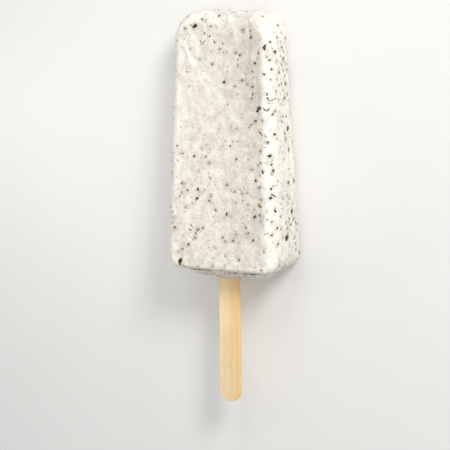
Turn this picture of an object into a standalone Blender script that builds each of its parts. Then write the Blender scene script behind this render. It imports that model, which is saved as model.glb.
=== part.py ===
"""An ice cream bar: a tapered block of frozen cream with dark biscuit crumbs, on a flat wooden stick.

Units are metres. The block is modelled in its mould's own frame, with Y down the middle of the bar
towards its tip, Z through its thickness towards the shown face, and the origin in the block's middle.
An empty then leans that frame so that the tapered back lies flat on the ground at Z = 0.
"""

import math
import random

import bmesh
import bpy
from mathutils import Matrix, Vector
from mathutils.bvhtree import BVHTree

# The block, as its mould leaves it.
BAR_LENGTH = 0.108
TIP_WIDTH = 0.046
BASE_WIDTH = 0.0532
TIP_THICKNESS = 0.0158
BASE_THICKNESS = 0.0274
TIP_CORNER_RADIUS = 0.0110
BASE_CORNER_RADIUS = 0.0068
RIM_RADIUS = 0.0042
BASE_RIM_RADIUS = 0.0016
RIM_FULLNESS = 0.40
CORNER_SEGMENTS = 7
RIM_SEGMENTS = 5
STRAIGHT_STEP = 0.0090

# The shown face sank a little in freezing, deepest in the middle.
SINK_DEPTH = 0.0006
SINK_RINGS = 4

# The swollen cap round the stick, where the mould was filled.
CAP_HEIGHT = 0.0046
CAP_SLOPE_RUN = 0.0090
CAP_SIDE_MARGIN = 0.0046
CAP_FACE_MARGIN = 0.0028
CAP_BURIED = 0.0020
CAP_ROUNDING = 1.6
CAP_SQUARENESS = 3.2
CAP_UNEVENNESS = 0.06
CAP_WAVE = 0.0065
CAP_POINTS = 40
CAP_RINGS = 6

# The stick: a common flat one with round ends, about half of it frozen into the block, a little to the
# left of its middle.
STICK_LENGTH = 0.114
STICK_WIDTH = 0.0097
STICK_THICKNESS = 0.0020
STICK_SHOWING = 0.0600
STICK_OFF_MIDDLE = -0.0026
STICK_EDGE_ROUNDING = 0.0003
STICK_EDGE_SEGMENTS = 2
STICK_END_POINTS = 17
SLOT_GAP = 0.0003

# The crumbs that catch the eye, in millimetres and degrees: how far across and along the bar, or
# along it and up its right side, then how long each is and which way it points.
MILLIMETRE = 0.001
SHOWN_FACE_CRUMBS = [
    (-12.5, 48.0, 2.2, 150), (10.5, 46.5, 1.5, 90), (22.0, 41.5, 1.6, 35), (20.5, 39.5, 2.3, 60),
    (-0.5, 38.5, 1.2, 20), (9.0, 36.0, 1.4, 100), (16.0, 33.0, 1.6, 70), (-4.0, 29.5, 1.3, 10),
    (1.5, 25.0, 1.8, 45), (15.0, 23.5, 1.3, 85), (18.0, 14.5, 2.6, 80), (16.5, 9.5, 1.4, 60),
    (24.0, 4.0, 1.6, 35), (22.0, 1.0, 1.5, 60), (22.8, -4.5, 2.0, 25), (7.5, -6.5, 1.6, 80),
    (-12.5, -6.0, 1.4, 60), (20.0, -11.0, 1.6, 150), (17.0, -15.0, 1.6, 140), (-10.5, -20.0, 1.9, 130),
    (23.3, -22.0, 1.9, 60), (-11.0, -24.0, 1.7, 75), (19.0, -25.0, 2.2, 125), (25.0, -27.0, 2.1, 100),
    (-2.0, -28.0, 1.5, 120), (3.5, -29.5, 1.7, 50), (16.5, -30.0, 1.5, 60), (-10.5, -37.0, 1.4, 60),
    (24.0, -37.0, 1.3, 45), (1.5, -39.5, 1.3, 60), (6.5, -40.5, 1.4, 120), (-15.0, -43.5, 1.5, 80),
    (-18.5, -51.0, 2.3, 50),
]
RIGHT_SIDE_CRUMBS = [
    (37.5, 5.5, 1.8, 10), (24.0, -2.5, 1.7, 15), (18.5, -1.5, 1.5, 160), (5.5, -3.0, 1.7, 20),
    (-17.0, -1.5, 1.4, 5), (-29.5, -3.5, 1.4, 0), (-39.0, 2.0, 2.3, 150),
]

# The smaller crumbs lie anywhere on the block but its back and its open end, and on the cap's slopes:
# how far down or out at the end a face may look, as the lowest Z or Y of its normal.
CRUMB_SEED = 11
BLOCK_CRUMBS = 84
CAP_CRUMBS = 8
BLOCK_LOWEST_NORMAL = -0.4
CAP_SLOPE_NORMALS = (-0.95, -0.4)
CRUMB_SPACING = 0.0045
CRUMB_SMALLEST = 0.0009
CRUMB_LARGEST = 0.0014
CRUMB_BREADTH = 0.68
CRUMB_DEPTH = 0.62
CRUMB_STANDS_PROUD = 0.22
CRUMB_ROUGHNESS = 0.22
RAY_START = 0.050

SHARP_ANGLE = math.radians(40)
CREAM_COLOUR = (0.84, 0.80, 0.70, 1.0)
CREAM_ROUGHNESS = 0.5
WOOD_COLOUR = (0.88, 0.64, 0.35, 1.0)
WOOD_ROUGHNESS = 0.6

# How far the middle line leans once the tapered back lies flat, and how high the block's middle is then.
LEAN = math.atan((BASE_THICKNESS - TIP_THICKNESS) / 2 / BAR_LENGTH)
MIDDLE_HEIGHT = (BASE_THICKNESS + TIP_THICKNESS) / 4 * math.cos(LEAN)


def between(at_base, at_tip, y):
    """What tapers evenly along the block, at one place on its length."""
    return at_base + (at_tip - at_base) * (y / BAR_LENGTH + 0.5)


def plain_material(name, colour, roughness):
    material = bpy.data.materials.new(name)
    material.use_nodes = True
    shader = material.node_tree.nodes["Principled BSDF"]
    shader.inputs["Base Color"].default_value = colour
    shader.inputs["Roughness"].default_value = roughness
    shader.inputs["Metallic"].default_value = 0.0
    return material


def lying_frame():
    """The mould's frame, leant and raised so that the back of the block is flat on the ground."""
    frame = bpy.data.objects.new("lying_frame", None)
    bpy.context.scene.collection.objects.link(frame)
    frame.rotation_euler = (-LEAN, 0, 0)
    frame.location = (0, STICK_SHOWING / 2 * math.cos(LEAN), MIDDLE_HEIGHT)
    return frame


def object_from(shape, name, frame, collection=None):
    """Turns a bmesh into a named object in the mould's frame."""
    bmesh.ops.recalc_face_normals(shape, faces=shape.faces[:])
    mesh = bpy.data.meshes.new(name)
    shape.to_mesh(mesh)
    shape.free()
    obj = bpy.data.objects.new(name, mesh)
    (collection or bpy.context.scene.collection).objects.link(obj)
    obj.parent = frame
    return obj


def apply_modifiers(obj):
    bpy.context.view_layer.update()
    seen = obj.evaluated_get(bpy.context.evaluated_depsgraph_get())
    finished = bpy.data.meshes.new_from_object(seen)
    obj.modifiers.clear()
    obj.data = finished


def block(frame):
    """The moulded block: an outline with round corners, drawn out to a tapering slab with round rims."""
    half = BAR_LENGTH / 2
    shape = bmesh.new()
    tip = [shape.verts.new((side * TIP_WIDTH / 2, half, 0)) for side in (1, -1)]
    base = [shape.verts.new((side * BASE_WIDTH / 2, -half, 0)) for side in (-1, 1)]
    shape.faces.new(tip + base)
    for corners, radius in ((tip, TIP_CORNER_RADIUS), (base, BASE_CORNER_RADIUS)):
        bmesh.ops.bevel(
            shape, geom=corners, offset=radius, offset_type="OFFSET",
            segments=CORNER_SEGMENTS, profile=0.5, affect="VERTICES", clamp_overlap=False,
        )
    for edge in [e for e in shape.edges if e.calc_length() > STRAIGHT_STEP]:
        cuts = round(edge.calc_length() / STRAIGHT_STEP) - 1
        bmesh.ops.bisect_edges(shape, edges=[edge], cuts=cuts)
    outline = shape.faces[:]
    drawn = bmesh.ops.extrude_face_region(shape, geom=outline)["geom"]
    front = {v for v in drawn if isinstance(v, bmesh.types.BMVert)}
    for v in shape.verts:
        side = 1 if v in front else -1
        v.co.z = side * between(BASE_THICKNESS, TIP_THICKNESS, v.co.y) / 2

    # The rims keep one radius along the sides and over the tip, and sharpen round to the open end.
    weights = shape.edges.layers.float.new("bevel_weight_edge")
    for edge in shape.edges:
        if (edge.verts[0] in front) == (edge.verts[1] in front):
            y = (edge.verts[0].co.y + edge.verts[1].co.y) / 2
            round_to_base = min(1.0, max(0.0, (y + half) / BASE_CORNER_RADIUS))
            radius = BASE_RIM_RADIUS + (RIM_RADIUS - BASE_RIM_RADIUS) * round_to_base
            edge[weights] = radius / RIM_RADIUS
    slab = object_from(shape, "ice_cream", frame)
    rims = slab.modifiers.new("round rims", "BEVEL")
    rims.limit_method = "WEIGHT"
    rims.width = RIM_RADIUS
    rims.segments = RIM_SEGMENTS
    rims.profile = RIM_FULLNESS
    rims.use_clamp_overlap = False
    apply_modifiers(slab)
    return slab


def sink_shown_face(slab):
    """Lets the shown face down in rings, each smaller and a little deeper than the last."""
    shape = bmesh.new()
    shape.from_mesh(slab.data)
    face = max(shape.faces, key=lambda f: f.calc_area() if f.normal.z > 0 else 0)
    middle = face.calc_center_bounds()
    inwards = -face.normal.copy()
    reach = 1.0
    depth = 0.0
    for ring in range(1, SINK_RINGS + 1):
        next_reach = 1 - ring / (SINK_RINGS + 1)
        next_depth = SINK_DEPTH * (1 - next_reach**2)
        face = bmesh.ops.extrude_discrete_faces(shape, faces=[face])["faces"][0]
        to_middle = Matrix.Translation(-(middle + inwards * depth))
        shrink = Vector.Fill(3, next_reach / reach)
        bmesh.ops.scale(shape, verts=face.verts[:], vec=shrink, space=to_middle)
        bmesh.ops.translate(shape, verts=face.verts[:], vec=inwards * (next_depth - depth))
        reach = next_reach
        depth = next_depth
    shape.to_mesh(slab.data)
    shape.free()


def cap(frame, collection):
    """The cap at the open end: rounded rings that start inside the block and close in as they rise."""
    shape = bmesh.new()
    profile = [(0.0, -CAP_BURIED)]
    for ring in range(CAP_RINGS + 1):
        share = ring / CAP_RINGS
        profile.append((share, CAP_HEIGHT * (1 - (1 - share) ** CAP_ROUNDING)))
    rings = []
    for share, height in profile:
        half_x = BASE_WIDTH / 2 - CAP_SIDE_MARGIN - CAP_SLOPE_RUN * share
        half_z = BASE_THICKNESS / 2 - CAP_FACE_MARGIN - CAP_SLOPE_RUN * share
        ring = []
        for point in range(CAP_POINTS):
            angle = 2 * math.pi * point / CAP_POINTS
            x = half_x * math.copysign(abs(math.cos(angle)) ** (2 / CAP_SQUARENESS), math.cos(angle))
            z = half_z * math.copysign(abs(math.sin(angle)) ** (2 / CAP_SQUARENESS), math.sin(angle))
            swell = 1 + CAP_UNEVENNESS * math.sin((x + z) / CAP_WAVE)
            ring.append(shape.verts.new((x, -BAR_LENGTH / 2 - height * swell, z)))
        rings.append(ring)
    for lower, upper in zip(rings, rings[1:]):
        for point in range(CAP_POINTS):
            after = (point + 1) % CAP_POINTS
            shape.faces.new((lower[point], lower[after], upper[after], upper[point]))
    shape.faces.new(rings[0])
    shape.faces.new(rings[-1])
    return object_from(shape, "cap", frame, collection)


def crumb(place, facing, along, length, chance, frame, collection):
    """A broken crumb, half sunk where it lies: a ball of 20 faces, knocked out of round and flattened."""
    shape = bmesh.new()
    bmesh.ops.create_icosphere(shape, subdivisions=1, radius=length / 2)
    for v in shape.verts:
        v.co *= 1 + chance.uniform(-CRUMB_ROUGHNESS, CRUMB_ROUGHNESS)
    bmesh.ops.scale(shape, verts=shape.verts[:], vec=(1, CRUMB_BREADTH, CRUMB_DEPTH))
    across = facing.cross(along).normalized()
    turn = Matrix((across.cross(facing), across, facing)).transposed()
    buried = length * (CRUMB_DEPTH / 2 - CRUMB_STANDS_PROUD)
    bmesh.ops.transform(
        shape, verts=shape.verts[:], matrix=Matrix.Translation(place - facing * buried) @ turn.to_4x4()
    )
    return object_from(shape, "crumb", frame, collection)


def listed_crumbs(slab, chance, frame, collection):
    """The crumbs with places of their own, dropped onto the shown face or pushed onto the right side."""
    surface = BVHTree.FromObject(slab, bpy.context.evaluated_depsgraph_get())
    places = []
    for across, along, length, degrees in SHOWN_FACE_CRUMBS:
        start = Vector((across * MILLIMETRE, along * MILLIMETRE, RAY_START))
        points = Vector((math.cos(math.radians(degrees)), math.sin(math.radians(degrees)), 0))
        places.append((start, Vector((0, 0, -1)), points, length))
    for along, up, length, degrees in RIGHT_SIDE_CRUMBS:
        start = Vector((RAY_START, along * MILLIMETRE, up * MILLIMETRE))
        points = Vector((0, math.cos(math.radians(degrees)), math.sin(math.radians(degrees))))
        places.append((start, Vector((-1, 0, 0)), points, length))
    taken = []
    for start, ray, points, length in places:
        place, facing, _, _ = surface.ray_cast(start, ray)
        crumb(place, facing, points, length * MILLIMETRE, chance, frame, collection)
        taken.append(place)
    return taken


def off_the_ground(normal):
    return min(normal.y, normal.z) > BLOCK_LOWEST_NORMAL


def on_a_slope(normal):
    lowest, highest = CAP_SLOPE_NORMALS
    return lowest < normal.y < highest


def scattered_crumbs(piece, wanted, count, taken, chance, frame, collection):
    """Smaller crumbs, drawn by area over the wanted faces and kept clear of those already there."""
    piece.data.calc_loop_triangles()
    faces = [t for t in piece.data.loop_triangles if wanted(t.normal)]
    areas = [t.area for t in faces]
    goal = len(taken) + count
    while len(taken) < goal:
        face = chance.choices(faces, areas)[0]
        a, b, c = (piece.data.vertices[i].co for i in face.vertices)
        s, t = sorted((chance.random(), chance.random()))
        place = a * s + b * (t - s) + c * (1 - t)
        length = CRUMB_SMALLEST + (CRUMB_LARGEST - CRUMB_SMALLEST) * chance.random() ** 2
        points = Vector([chance.uniform(-1, 1) for _ in range(3)])
        if all((place - other).length > CRUMB_SPACING for other in taken):
            crumb(place, face.normal.copy(), points, length, chance, frame, collection)
            taken.append(place)


def stick_outline(grown, name, frame):
    """The flat stick with its two round ends, or the slot round it when grown by a gap on every side."""
    radius = STICK_WIDTH / 2 + grown
    outer_end = -BAR_LENGTH / 2 - STICK_SHOWING
    shape = bmesh.new()
    outline = []
    for centre, turn in (
        (outer_end + STICK_WIDTH / 2, math.pi),
        (outer_end + STICK_LENGTH - STICK_WIDTH / 2, 0),
    ):
        for point in range(STICK_END_POINTS):
            angle = turn + math.pi * point / (STICK_END_POINTS - 1)
            x = STICK_OFF_MIDDLE + radius * math.cos(angle)
            outline.append(shape.verts.new((x, centre + radius * math.sin(angle), 0)))
    bottom = shape.faces.new(outline)
    drawn = bmesh.ops.extrude_face_region(shape, geom=[bottom])["geom"]
    half = STICK_THICKNESS / 2 + grown
    for v in shape.verts:
        v.co.z = half if v in drawn else -half
    return object_from(shape, name, frame)


def ice_cream(frame):
    """The block, its cap and the crumbs that break the surface, all in one piece round the stick's slot."""
    chance = random.Random(CRUMB_SEED)
    slab = block(frame)
    sink_shown_face(slab)
    added = bpy.data.collections.new("fused to the block")
    bpy.context.scene.collection.children.link(added)
    top = cap(frame, added)
    taken = listed_crumbs(slab, chance, frame, added)
    scattered_crumbs(slab, off_the_ground, BLOCK_CRUMBS, taken, chance, frame, added)
    scattered_crumbs(top, on_a_slope, CAP_CRUMBS, taken, chance, frame, added)

    fused = slab.modifiers.new("cap and crumbs", "BOOLEAN")
    fused.operation = "UNION"
    fused.operand_type = "COLLECTION"
    fused.collection = added
    slot = stick_outline(SLOT_GAP, "slot", frame)
    slotted = slab.modifiers.new("slot for the stick", "BOOLEAN")
    slotted.operation = "DIFFERENCE"
    slotted.object = slot
    apply_modifiers(slab)
    for obj in list(added.objects) + [slot]:
        bpy.data.objects.remove(obj)
    bpy.data.collections.remove(added)
    slab.data.shade_smooth()
    slab.data.set_sharp_from_angle(angle=SHARP_ANGLE)
    slab.data.materials.clear()
    slab.data.materials.append(plain_material("frozen cream", CREAM_COLOUR, CREAM_ROUGHNESS))


def stick(frame):
    """The bare wooden stick, its edges just broken."""
    flat = stick_outline(0, "stick", frame)
    edges = flat.modifiers.new("broken edges", "BEVEL")
    edges.width = STICK_EDGE_ROUNDING
    edges.segments = STICK_EDGE_SEGMENTS
    edges.limit_method = "ANGLE"
    edges.angle_limit = SHARP_ANGLE
    flat.data.materials.append(plain_material("pale wood", WOOD_COLOUR, WOOD_ROUGHNESS))


for old in list(bpy.data.objects):
    bpy.data.objects.remove(old)
lying = lying_frame()
ice_cream(lying)
stick(lying)
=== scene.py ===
"""The looks of an ice cream bar on its stick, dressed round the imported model. Units are metres."""

import math
import random
from itertools import accumulate

import bmesh
import bpy
from mathutils import Matrix, Vector, noise
from mathutils.kdtree import KDTree


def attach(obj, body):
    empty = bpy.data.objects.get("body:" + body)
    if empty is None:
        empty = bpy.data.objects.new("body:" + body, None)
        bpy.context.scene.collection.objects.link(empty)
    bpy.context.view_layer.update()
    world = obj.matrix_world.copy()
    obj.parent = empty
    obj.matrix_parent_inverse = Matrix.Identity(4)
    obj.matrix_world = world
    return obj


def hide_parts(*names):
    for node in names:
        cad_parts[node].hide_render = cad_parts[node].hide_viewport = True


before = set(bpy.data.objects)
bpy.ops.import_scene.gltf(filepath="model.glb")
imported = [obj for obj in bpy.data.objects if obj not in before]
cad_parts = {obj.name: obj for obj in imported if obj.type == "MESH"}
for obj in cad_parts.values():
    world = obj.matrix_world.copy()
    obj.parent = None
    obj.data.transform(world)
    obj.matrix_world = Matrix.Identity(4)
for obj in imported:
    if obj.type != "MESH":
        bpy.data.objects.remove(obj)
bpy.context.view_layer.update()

# ---------------------------------------------------------------------------------------------
# The moulded block: dense frozen cream, poured into a tapered metal mould and pulled out by its
# stick. Its own frame has Y down the middle towards the tip and Z out of the shown face; it is
# worked there and then laid on its tapered back.

LENGTH = 0.108
TIP_WIDTH = 0.046
BASE_WIDTH = 0.0532
TIP_THICKNESS = 0.0158
BASE_THICKNESS = 0.0274
TIP_CORNER = 0.0110
BASE_CORNER = 0.0068
RIM = 0.0042
BASE_RIM = 0.0016
RIM_FULLNESS = 0.40
CORNER_STEPS = 14
RIM_STEPS = 10
STICK_SHOWING = 0.0600
LEAN = math.atan((BASE_THICKNESS - TIP_THICKNESS) / 2 / LENGTH)
MIDDLE_HEIGHT = (BASE_THICKNESS + TIP_THICKNESS) / 4 * math.cos(LEAN)
BLOCK_MIDDLE = (0, STICK_SHOWING / 2 * math.cos(LEAN), MIDDLE_HEIGHT)
LYING = Matrix.Translation(BLOCK_MIDDLE) @ Matrix.Rotation(-LEAN, 4, "X")


def begin(add, name, **settings):
    """A primitive at its size and place, with nothing else selected."""
    bpy.ops.object.select_all(action="DESELECT")
    add(**settings)
    piece = bpy.context.object
    piece.name = name
    bpy.ops.object.transform_apply(location=True, rotation=True, scale=True)
    return piece


def pick(piece, kind, wanted):
    """In edit mode, selects the vertices, edges or faces whose corners pass a test."""
    bpy.ops.object.mode_set(mode="EDIT")
    bpy.ops.mesh.select_mode(type=kind)
    bpy.ops.mesh.select_all(action="DESELECT")
    shape = bmesh.from_edit_mesh(piece.data)
    for part in {"VERT": shape.verts, "EDGE": shape.edges, "FACE": shape.faces}[kind]:
        corners = [part.co] if kind == "VERT" else [v.co for v in part.verts]
        part.select_set(wanted(corners))
    bmesh.update_edit_mesh(piece.data)


def finish_modifiers(piece):
    """Applies what is on the piece, from the first modifier to the last."""
    bpy.ops.object.mode_set(mode="OBJECT")
    bpy.context.view_layer.objects.active = piece
    for modifier in list(piece.modifiers):
        bpy.ops.object.modifier_apply(modifier=modifier.name)


def tapered(at_base, at_tip, y):
    """What tapers evenly along the block, at one place on its length."""
    return at_base + (at_tip - at_base) * (y / LENGTH + 0.5)


def nought_to_one(amount):
    return min(1, max(0, amount))


body = begin(
    bpy.ops.mesh.primitive_cube_add, "ice_cream_body", size=1, scale=(BASE_WIDTH, LENGTH, BASE_THICKNESS)
)
pick(body, "FACE", lambda corners: all(c.y > 0 for c in corners))
bpy.ops.transform.resize(
    value=(TIP_WIDTH / BASE_WIDTH, 1, TIP_THICKNESS / BASE_THICKNESS), center_override=(0, LENGTH / 2, 0)
)
for end, radius in ((1, TIP_CORNER), (-1, BASE_CORNER)):
    pick(body, "EDGE", lambda c: abs(c[0].z - c[1].z) > BASE_CORNER and c[0].y * end > 0)
    bpy.ops.mesh.bevel(offset=radius, segments=CORNER_STEPS, affect="EDGES")
bpy.ops.object.mode_set(mode="OBJECT")
rim_weights = body.data.attributes.new("bevel_weight_edge", "FLOAT", "EDGE")
for edge in body.data.edges:
    ends = [body.data.vertices[i].co for i in edge.vertices]
    if ends[0].z * ends[1].z > 0:
        round_to_base = nought_to_one(((ends[0].y + ends[1].y + LENGTH) / 2) / BASE_CORNER)
        rim_weights.data[edge.index].value = (BASE_RIM + (RIM - BASE_RIM) * round_to_base) / RIM
rims = body.modifiers.new("round rims", "BEVEL")
rims.limit_method = "WEIGHT"
rims.width = RIM
rims.segments = RIM_STEPS
rims.profile = RIM_FULLNESS
rims.use_clamp_overlap = False
finish_modifiers(body)

# ---------------------------------------------------------------------------------------------
# The cap: the mould is filled from this end, round the stick, and the cream swells as it freezes
# into a low loaf that stands out of the open end and leaves a crease all round.

CAP_HEIGHT = 0.0046
CAP_SLOPE_RUN = 0.0090
CAP_HALF_WIDTH = BASE_WIDTH / 2 - 0.0046
CAP_HALF_THICKNESS = BASE_THICKNESS / 2 - 0.0028
CAP_BURIED = 0.0020
CAP_ROUNDING = 1.6
CAP_CORNER = 0.0075
CAP_STEPS = 8
HAIR = 1e-6

cap = begin(
    bpy.ops.mesh.primitive_cube_add,
    "cap",
    size=1,
    location=(0, -LENGTH / 2 + CAP_BURIED / 2, 0),
    scale=(2 * CAP_HALF_WIDTH, CAP_BURIED, 2 * CAP_HALF_THICKNESS),
)
pick(cap, "EDGE", lambda c: abs(c[0].y - c[1].y) > CAP_BURIED / 2)
bpy.ops.mesh.bevel(offset=CAP_CORNER, segments=CORNER_STEPS, affect="EDGES")
height = 0
closed_in = 0
for step in range(1, CAP_STEPS + 1):
    next_closed_in = CAP_SLOPE_RUN * step / CAP_STEPS
    next_height = CAP_HEIGHT * (1 - (1 - step / CAP_STEPS) ** CAP_ROUNDING)
    pick(cap, "FACE", lambda corners: all(c.y < -LENGTH / 2 - height + HAIR for c in corners))
    bpy.ops.mesh.extrude_region_move(TRANSFORM_OT_translate={"value": (0, height - next_height, 0)})
    shrink_x = (CAP_HALF_WIDTH - next_closed_in) / (CAP_HALF_WIDTH - closed_in)
    shrink_z = (CAP_HALF_THICKNESS - next_closed_in) / (CAP_HALF_THICKNESS - closed_in)
    bpy.ops.transform.resize(value=(shrink_x, 1, shrink_z), center_override=(0, 0, 0))
    height = next_height
    closed_in = next_closed_in
bpy.ops.object.mode_set(mode="OBJECT")

# ---------------------------------------------------------------------------------------------
# The frozen surface: block and cap are one mass, so they are melted into one even mesh. What freezing,
# unmoulding and handling did to it is pressed in, such as the sunk shown face and the crease round the
# cap, or painted on as attributes that the finish reads, such as the wiped places, partly painted
# highlight; other attributes carry painted shade and painted highlights.

GRAIN_OF_MESH = 0.00047
SINK_DEPTH = 0.0006
SINK_SQUARENESS = 5
BACK_SKIN = 0.0004
BACK_FLAT = 0.25
SWELLS = ((0.0110, 0.00030), (0.0030, 0.00018), (0.0012, 0.00012))

# Lines drawn on the shown face, as places and half breadths in millimetres.
MILLIMETRE = 0.001
FAR_OFF = 9.0
BELL_REACH = 3
SMEAR_HEIGHT = 0.00026
# The smears stand raised, and their whiteness is partly painted highlight.
SMEARS = (
    [(-17.5, 44.2, 0.30), (-17.1, 41.5, 0.38), (-16.5, 39.2, 0.48), (-15.5, 37.0, 0.85)],
    [(-15.5, 37.0, 0.85), (-14.3, 35.0, 1.40), (-13.2, 33.4, 1.80), (-12.4, 32.4, 1.60)],
)
# Wiped lines: whiter streaks and patches, partly wiped cream and partly painted light.
WIPES_AND_PAINTED_LIGHT = (
    [(-12.4, 32.0, 1.3), (-11.4, 30.2, 1.1), (-10.2, 27.5, 1.0), (-8.0, 24.5, 1.2), (-5.5, 21.5, 0.8)],
    [(-10.8, 31.0, 0.8), (-9.6, 29.9, 0.7), (-7.7, 28.1, 0.7), (-4.8, 25.9, 0.6), (-2.0, 24.3, 0.4)],
    [(-18.5, 48.5, 1.8), (-14.5, 51.0, 2.0), (-9.5, 53.0, 1.6)],
    [(-13.5, 45.5, 2.0), (-11.5, 41.5, 2.2), (-10.5, 38.5, 1.4)],
    [(-3.0, 22.0, 1.6), (1.0, 18.0, 2.6), (6.0, 12.0, 2.8), (8.5, 8.5, 1.6)],
)
SCRATCHES = (
    [(10.5, 17.6, 0.36), (11.8, 16.4, 0.36)],
    [(8.5, 18.1, 0.38), (9.6, 17.0, 0.34)],
    [(9.3, 12.9, 0.34), (9.9, 13.6, 0.36)],
    [(2.9, 13.0, 0.38), (4.1, 11.6, 0.34)],
    [(5.9, 10.9, 0.36), (6.6, 10.1, 0.34)],
    [(8.4, 21.7, 0.42), (9.0, 21.3, 0.42)],
)
STREAK_DEPTH = 0.00007
STREAKS = (
    [(12.7, 51.5, 0.6), (13.4, 46.5, 0.8), (13.9, 40.5, 0.6), (13.0, 33.0, 0.4)],
    [(-6.9, 50.5, 0.5), (-6.2, 46.5, 0.6), (-6.1, 40.5, 0.4), (-6.4, 38.0, 0.3)],
)

# The shown face: painted shade that greys it to the right, a painted highlight that whitens its rims,
# and the clear stretch at upper left.
SHADE_RIGHT_FROM = -0.004
SHADE_RIGHT_TO = 0.019
SHADE_OFF_BASE = 0.014
SHADE_EDGE = 0.0028
SHADE_OVERHANG = 0.2
SHADE_OVER_TIP = 0.0040
HIGHLIGHT_IN = 0.0017
HIGHLIGHT_BREADTH = 0.0057
HIGHLIGHT_ENDS = 1.5
LESS_HIGHLIGHT_AT_ENDS = 0.75
RIM_WANDER = 0.0080
RIM_WAVER = 0.0018
CLEAR_MIDDLE = (-0.012, 0.018)
CLEAR_REACH = (0.013, 0.015)
CLEAR_FULLNESS = 1.5

# The crease round the foot of the cap, which wanders up its slope and opens and closes.
CREASE_DEPTH = 0.0006
CREASE_HEIGHT = 0.0009
CREASE_BREADTH = 0.00084
CREASE_WANDER = 0.0040
CREASE_DRIFT = 0.6
CREASE_OPEN = 0.60
CREASE_NARROWEST = 0.40
CREASE_OPENING = 0.9
CREASE_DRAW = (56, 0, 0)
CREASE_ENDS_ON_BLOCK = 2.5

# The cap's own swells, and the collar where it meets the stick.
CAP_SWELLS = ((0.0065, 0.0012), (0.0020, 0.00045))
CAP_BLEND = 0.0015
STICK_WIDTH = 0.0097
STICK_THICKNESS = 0.0020
STICK_OFF_MIDDLE = -0.0026
COLLAR_HEIGHT = 0.0007
COLLAR_BREADTH = 0.0010

bpy.ops.object.select_all(action="DESELECT")
cap.select_set(True)
body.select_set(True)
bpy.context.view_layer.objects.active = body
bpy.ops.object.join()
melt = body.modifiers.new("one even mesh", "REMESH")
melt.mode = "VOXEL"
melt.voxel_size = GRAIN_OF_MESH
finish_modifiers(body)


def group(piece, name, weight):
    """A vertex group, weighed at each vertex by its place, for a Displace to work on."""
    vertices = piece.vertex_groups.new(name=name)
    for vertex in piece.data.vertices:
        vertices.add([vertex.index], weight(vertex.co), "REPLACE")


def paint(piece, name, amount):
    """An attribute that the finish reads, worked out at each vertex from its place."""
    amounts = [amount(v.co) for v in piece.data.vertices]
    piece.data.attributes.new(f"{name}_seen", "FLOAT", "POINT").data.foreach_set("value", amounts)


def press(piece, name, depth, vertices, direction="NORMAL", grain=None):
    """A Displace along the surface's own normals, even or through a cloudy texture of one grain size."""
    modifier = piece.modifiers.new(name, "DISPLACE")
    modifier.strength = depth
    modifier.mid_level = 0
    modifier.direction = direction
    modifier.vertex_group = vertices
    if grain:
        clouds = bpy.data.textures.new(name, "CLOUDS")
        clouds.noise_scale = grain
        clouds.noise_depth = 2
        modifier.texture = clouds
        modifier.texture_coords = "LOCAL"
        modifier.mid_level = 0.5


def off_line(point, line):
    """How many half breadths a point is from a line drawn on the shown face."""
    nearest = FAR_OFF
    place = Vector((point.x, point.y)) / MILLIMETRE
    for start, end in zip(line, line[1:]):
        along = Vector(end[:2]) - Vector(start[:2])
        share = nought_to_one((place - Vector(start[:2])).dot(along) / along.length_squared)
        breadth = start[2] + (end[2] - start[2]) * share
        nearest = min(nearest, (place - Vector(start[:2]) - along * share).length / breadth)
    return nearest


def out_from_middle(point):
    """How far out a point of the shown face is: nought at its middle and one where the rims start."""
    half_width = tapered(BASE_WIDTH, TIP_WIDTH, point.y) / 2 - RIM
    middle = (BASE_RIM - RIM) / 2
    half_length = LENGTH / 2 - (BASE_RIM + RIM) / 2
    across = abs(point.x) / half_width
    along = abs(point.y - middle) / half_length
    return (across**SINK_SQUARENESS + along**SINK_SQUARENESS) ** (1 / SINK_SQUARENESS)


def sunk(point):
    """The dish in the shown face: deepest in its middle, and shallower all the way out to its rims."""
    return max(0, 1 - out_from_middle(point) ** 2) if point.z > 0 else 0


def past_round_corner(off_x, off_y, radius):
    """How far outside a round-cornered outline, from how far off the middle of its corner each way."""
    return Vector((max(off_x, 0), max(off_y, 0))).length + min(max(off_x, off_y), 0) - radius


def past_rim_line(point, longer=0.0):
    """How far outside the wavering line where the rims of the shown face start, or less than nought."""
    corner = tapered(BASE_CORNER, TIP_CORNER, point.y) - RIM
    off_x = abs(point.x) - tapered(BASE_WIDTH, TIP_WIDTH, point.y) / 2 + RIM + corner
    off_y = abs(point.y + (RIM - BASE_RIM) / 2) - LENGTH / 2 + (BASE_RIM + RIM) / 2 + corner - longer
    wavering = noise.noise(point / RIM_WANDER) * RIM_WAVER
    return past_round_corner(off_x, off_y, corner) + wavering


def painted_shade_right(point):
    """Painted shade on the right of the shown face, which greys it."""
    if point.z < 0:
        return 0
    rightward = nought_to_one((point.x - SHADE_RIGHT_FROM) / (SHADE_RIGHT_TO - SHADE_RIGHT_FROM))
    off_base = nought_to_one((point.y + LENGTH / 2) / SHADE_OFF_BASE)
    fade = nought_to_one(SHADE_OVERHANG - past_rim_line(point, SHADE_OVER_TIP) / SHADE_EDGE)
    return rightward * off_base * fade


def rim_painted_highlight(point):
    """A painted highlight on the rounded rims of the shown face, whitest halfway round."""
    over = nought_to_one((past_rim_line(point) + HIGHLIGHT_IN) / HIGHLIGHT_BREADTH)
    at_ends = nought_to_one((abs(point.y) - LENGTH / 2) / RIM + HIGHLIGHT_ENDS)
    return math.sin(math.pi * over) * (1 - LESS_HIGHLIGHT_AT_ENDS * at_ends) if point.z > 0 else 0


def clear_stretch(point):
    """The upper left of the shown face, where hardly a crumb came to lie."""
    off_x = (point.x - CLEAR_MIDDLE[0]) / CLEAR_REACH[0]
    off_y = (point.y - CLEAR_MIDDLE[1]) / CLEAR_REACH[1]
    return min(1, CLEAR_FULLNESS * math.exp(-(off_x**2) - off_y**2)) if point.z > 0 else 0


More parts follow.
